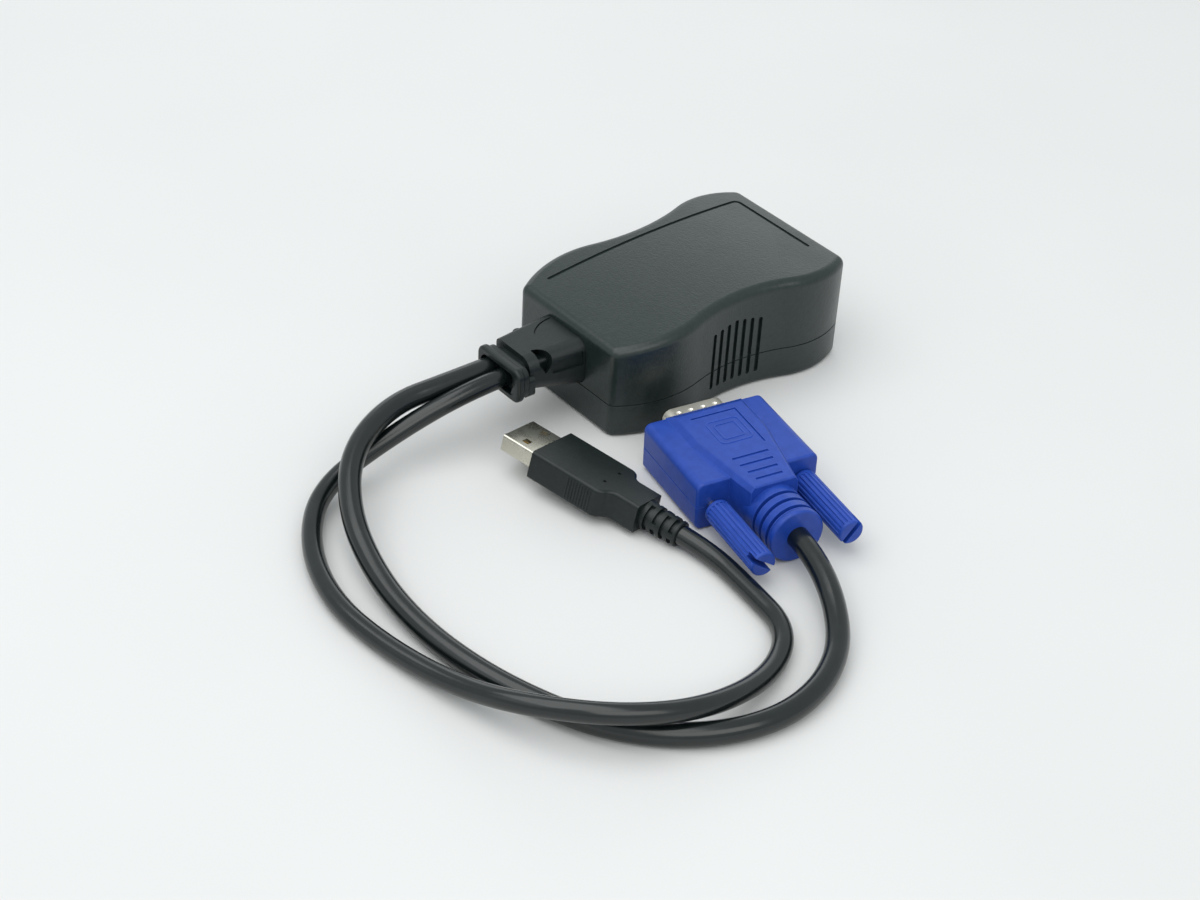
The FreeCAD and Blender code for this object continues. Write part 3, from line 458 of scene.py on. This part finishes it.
def addGripRibs(ribs, side, plug):
    deselectAll()
    bpy.ops.mesh.primitive_cube_add(size=mm, location=(ribs["first"] * mm, side * ribs["side"] * mm, 0))
    row = bpy.context.object
    row.name = ribs["name"] + ("Left" if side < 0 else "Right")
    row.scale = (ribs["wide"], 2 * ribs["proud"], ribs["tall"])
    bpy.ops.object.transform_apply(location=False, rotation=False, scale=True)
    bpy.ops.object.mode_set(mode="EDIT")
    bpy.ops.mesh.select_all(action="SELECT")
    bpy.ops.mesh.bevel(offset=ribs["soft"] * mm, affect="EDGES", segments=3, profile=0.5)
    bpy.ops.object.mode_set(mode="OBJECT")
    copies = row.modifiers.new("row", "ARRAY")
    copies.count = ribs["count"]
    copies.use_relative_offset = False
    copies.use_constant_offset = True
    copies.constant_offset_displace = (ribs["pitch"] * mm, 0, 0)
    applyAll(row)
    row.matrix_world = plugPlace(plug) @ row.matrix_world
    finishDetail(row, "plugBlack")


mouthWeb = {
    "name": "mouthWeb", "x": (-58.75, -57.15), "corner": (-6.9, 13.0),
    "wide": 2.7, "tall": 4.6, "lean": 0.72, "soft": 0.35,  # lean is a share of the width
}


def addMouthWeb(web):  # fills the low near corner where the cords leave the boot
    x0, x1 = web["x"]
    midX, midY = (x0 + x1) / 2 * mm, (web["corner"][0] + web["wide"] / 2) * mm
    midZ = (web["corner"][1] + web["tall"] / 2) * mm
    deselectAll()
    bpy.ops.mesh.primitive_cube_add(size=mm, location=(midX, midY, midZ))
    piece = bpy.context.object
    piece.name = web["name"]
    piece.scale = (x1 - x0, web["wide"], web["tall"])
    bpy.ops.object.transform_apply(location=True, rotation=True, scale=True)
    bpy.ops.object.mode_set(mode="EDIT")
    bpy.ops.mesh.select_all(action="DESELECT")
    bpy.ops.object.mode_set(mode="OBJECT")
    for vertex in piece.data.vertices:  # its far upper edge
        vertex.select = vertex.co.y > midY and vertex.co.z > midZ
    bpy.ops.object.mode_set(mode="EDIT")
    bpy.ops.transform.translate(value=(0, -web["wide"] * web["lean"] * mm, 0))
    bpy.ops.mesh.select_all(action="SELECT")
    bpy.ops.mesh.bevel(offset=web["soft"] * mm, affect="EDGES", segments=3, profile=0.5)
    bpy.ops.object.mode_set(mode="OBJECT")
    finishDetail(piece, "bootBlack")


addMouthWeb(mouthWeb)
addDisplayMark(displayMark, videoPlug)
for side in (-1, 1):
    addGripRibs(gripRibs, side, usbPlug)
print("moulded details added")


# the routes of the two cords, from the boot to each plug
videoCord = {
    "name": "videoCord", "node": "vga_cord", "diameter": 5.6, "length": 0.262,
    "exit": (-57.3, 4.5, 16.2),
    "route": [(-70.5, 4.5, 16.2), (-87.5, 6.3, 15), (-104.5, -2, 12.6), (-115, -17.5, 8.4),
              (-120, -36, 4.6), (-121.5, -54.5, 3.3), (-119.5, -73, 2.9), (-114.5, -91, 2.95),
              (-106.5, -107, 2.9), (-92.5, -119.5, 2.95), (-75.5, -125, 2.9), (-59, -122, 2.95),
              (-45, -112, 3.6)],
    "plug": videoPlug, "lastRun": 11,
    "with": ["vga_hood", "vga_shell", "vga_insulator", "vga_pins", "vga_knob_left", "vga_knob_right",
             "vga_screw_left", "vga_screw_right", "displayMark"],
}
usbCord = {
    "name": "usbCord", "node": "usb_cord", "diameter": 5.0, "length": 0.277,
    "exit": (-57.3, -0.95, 16.2),
    "route": [(-70.5, -0.95, 16.2), (-91, 2.2, 8.9), (-112, -0.5, 4.4), (-125, -15, 2.8),
              (-132, -35.5, 2.6), (-131, -56, 2.7), (-127, -77, 4.4), (-122, -96, 10.0),
              (-107.5, -111.5, 10.8), (-88.5, -117, 7.5), (-67, -113, 2.7), (-53.5, -103.5, 2.6),
              (-51.2, -87, 2.7)],
    "plug": usbPlug, "lastRun": 9,
    "with": ["usb_overmould", "usb_shell", "usb_tongue", "usb_contacts", "gripRibLeft", "gripRibRight"],
}
cordSmoothness = {"along": 24, "around": 8}


def addCord(cord):
    place = plugPlace(cord["plug"])
    tailX = cord["plug"]["tailX"]
    tail = place @ Vector((tailX * mm, 0, 0))
    ahead = place @ Vector(((tailX + cord["lastRun"]) * mm, 0, 0))
    points = [Vector(p) * mm for p in [cord["exit"]] + cord["route"]] + [ahead, tail]
    line = bpy.data.curves.new(cord["name"], "CURVE")
    line.dimensions = "3D"
    spline = line.splines.new("NURBS")
    spline.points.add(len(points) - 1)
    for knot, point in zip(spline.points, points):
        knot.co = (*point, 1)
    spline.order_u = 3
    spline.use_endpoint_u = True
    spline.resolution_u = cordSmoothness["along"]
    line.bevel_depth = cord["diameter"] / 2 * mm
    line.bevel_resolution = cordSmoothness["around"]
    line.use_fill_caps = True
    piece = bpy.data.objects.new(cord["name"], line)
    bpy.context.scene.collection.objects.link(piece)
    dress(piece, "cordBlack")
    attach(piece, "module")
    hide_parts(cord["node"])


for cord in (videoCord, usbCord):
    addCord(cord)
print("cords laid")


paleFloor = {
    "name": "paleFloor", "size": 6, "dark": (0.665, 0.660, 0.660), "light": (0.690, 0.685, 0.685),
    "cloud": 6.0, "rough": 0.55, "specular": 0.3,
}


def addFloor(look):
    bpy.ops.mesh.primitive_plane_add(size=1, location=(0, 0, 0))
    floor = bpy.context.object
    floor.name = look["name"]
    floor.scale = (look["size"], look["size"], 1)
    bpy.ops.object.transform_apply(location=False, rotation=False, scale=True)
    material, tree, shader, place = startMaterial(look["name"])
    cloudy = noiseNode(tree, place, look["cloud"], 3.0)
    body = rampBetween(tree, cloudy, look["dark"], look["light"])
    tree.links.new(body, shader.inputs["Base Color"])
    shader.inputs["Roughness"].default_value = look["rough"]
    shader.inputs["Specular IOR Level"].default_value = look["specular"]
    floor.data.materials.append(material)


softboxes = [
    {"name": "overhead", "place": (-0.40, 0.10, 1.15), "target": (-0.04, -0.03, 0),
     "size": (1.4, 1.2), "power": 9.0, "colour": (1.0, 1.0, 1.0)},
    {"name": "backCard", "place": (0.55, 0.70, 0.40), "target": (-0.02, -0.02, 0),
     "size": (0.9, 0.35), "power": 0.9, "colour": (1.0, 1.0, 1.0)},
    {"name": "leftFill", "place": (-0.95, 0.1, 0.7), "target": (-0.04, -0.03, 0),
     "size": (0.8, 0.6), "power": 0.7, "colour": (0.97, 0.99, 1.0)},
    {"name": "frontFill", "place": (-0.30, -1.00, 0.95), "target": (-0.04, -0.03, 0),
     "size": (1.2, 0.8), "power": 5.0, "colour": (1.0, 0.99, 0.97)},
]


def addSoftbox(box):
    bpy.ops.object.light_add(type="AREA", location=box["place"])
    lamp = bpy.context.object
    lamp.name = box["name"]
    lamp.data.shape = "RECTANGLE"
    lamp.data.size, lamp.data.size_y = box["size"]
    lamp.data.energy = box["power"]
    lamp.data.color = box["colour"]
    lamp.rotation_mode = "QUATERNION"
    aim = Vector(box["target"]) - Vector(box["place"])
    lamp.rotation_quaternion = aim.to_track_quat("-Z", "Y")


paleRoom = {"name": "paleRoom", "colour": (0.90, 0.97, 0.97), "strength": 0.70}


def addRoom(look):
    room = bpy.data.worlds.new(look["name"])
    room.use_nodes = True
    background = room.node_tree.nodes["Background"]
    background.inputs["Color"].default_value = (*look["colour"], 1)
    background.inputs["Strength"].default_value = look["strength"]
    bpy.context.scene.world = room
    bpy.context.scene.view_settings.view_transform = "Standard"


addFloor(paleFloor)
for box in softboxes:
    addSoftbox(box)
addRoom(paleRoom)
print("stage lit")
